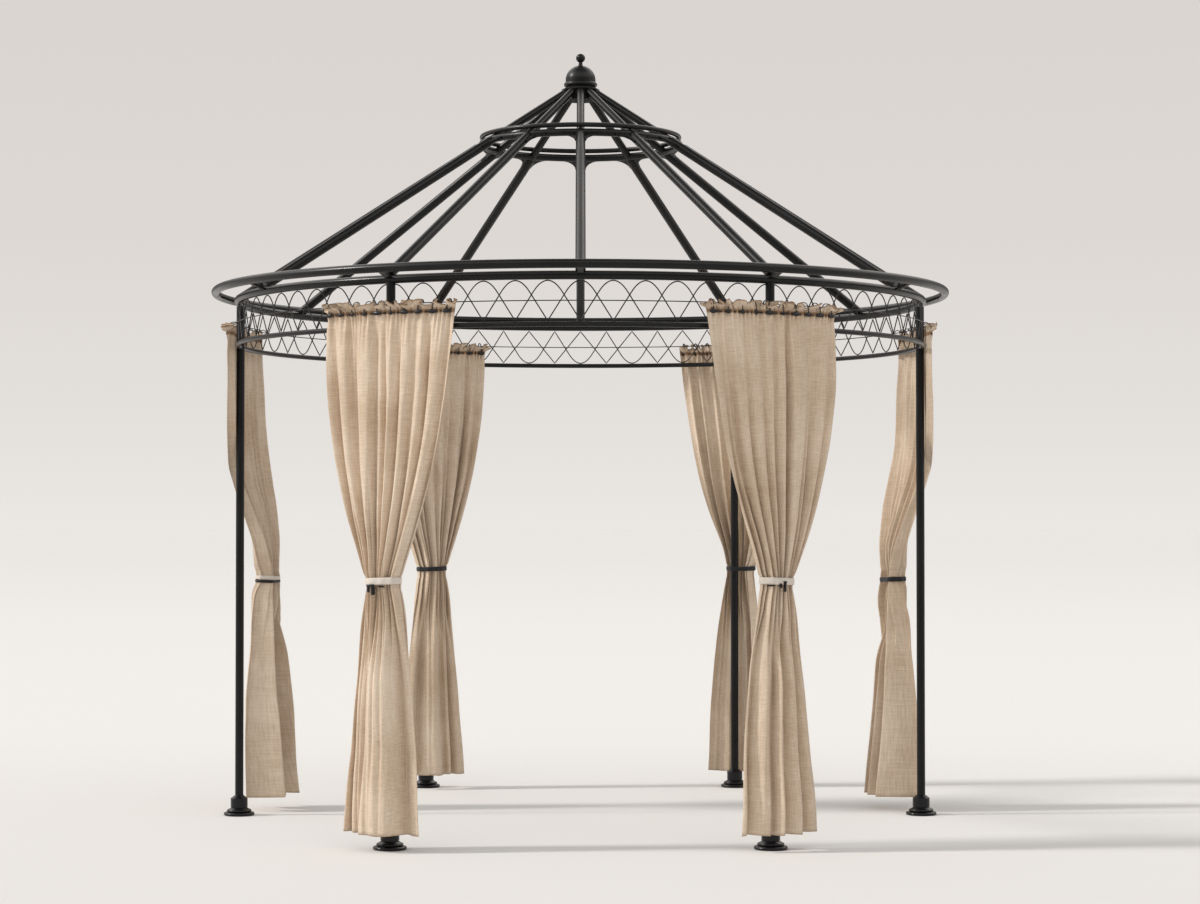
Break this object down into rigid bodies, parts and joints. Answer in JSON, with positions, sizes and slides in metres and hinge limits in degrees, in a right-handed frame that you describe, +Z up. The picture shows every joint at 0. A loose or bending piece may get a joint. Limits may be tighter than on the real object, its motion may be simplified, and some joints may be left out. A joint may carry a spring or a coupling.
{
  "type": "round garden pergola",
  "caption": "Round garden pergola of bent steel tube with a conical rafter roof, a wire lattice band and tied-back linen curtains.",
  "frame": {"origin": "centre of the circle of feet, on the floor", "axes": "+Z up along the roof's axis; -Y is the front, the bay between the two front curtains; +X is the right seen from the front"},
  "size_m": [3.117, 3.117, 3.2422],
  "materials": {
    "frame_paint": "satin powder coat",
    "cast_paint": "gloss paint",
    "linen": "plain weave",
    "tie_cloth": "woven tape",
    "tie_strap": "woven webbing"
  },
  "bodies": {
    "root": {"foot_front_right": "cast_paint", "foot_right": "cast_paint", "foot_back_right": "cast_paint", "foot_back_left": "cast_paint", "foot_left": "cast_paint", "foot_front_left": "cast_paint", "post_front_right": "frame_paint", "post_right": "frame_paint", "post_back_right": "frame_paint", "post_back_left": "frame_paint", "post_left": "frame_paint", "post_front_left": "frame_paint", "lower_ring": "frame_paint", "top_ring": "frame_paint", "eave_ring": "frame_paint", "eave_cleats": "frame_paint", "curtain_rail": "frame_paint", "lattice_front": "frame_paint", "lattice_front_right": "frame_paint", "lattice_back_right": "frame_paint", "lattice_back": "frame_paint", "lattice_back_left": "frame_paint", "lattice_front_left": "frame_paint", "rafter_01": "frame_paint", "rafter_02": "frame_paint", "rafter_03": "frame_paint", "rafter_04": "frame_paint", "rafter_05": "frame_paint", "rafter_06": "frame_paint", "rafter_07": "frame_paint", "rafter_08": "frame_paint", "rafter_09": "frame_paint", "rafter_10": "frame_paint", "rafter_11": "frame_paint", "rafter_12": "frame_paint", "crown_ring": "frame_paint", "crown_hoop": "frame_paint", "hub": "cast_paint", "finial": "cast_paint", "curtain_front_right": "linen", "curtain_right": "linen", "curtain_back_right": "linen", "curtain_back_left": "linen", "curtain_left": "linen", "curtain_front_left": "linen", "cloth_ties": "tie_cloth", "strap_ties": "tie_strap"}
  },
  "joints": []
}
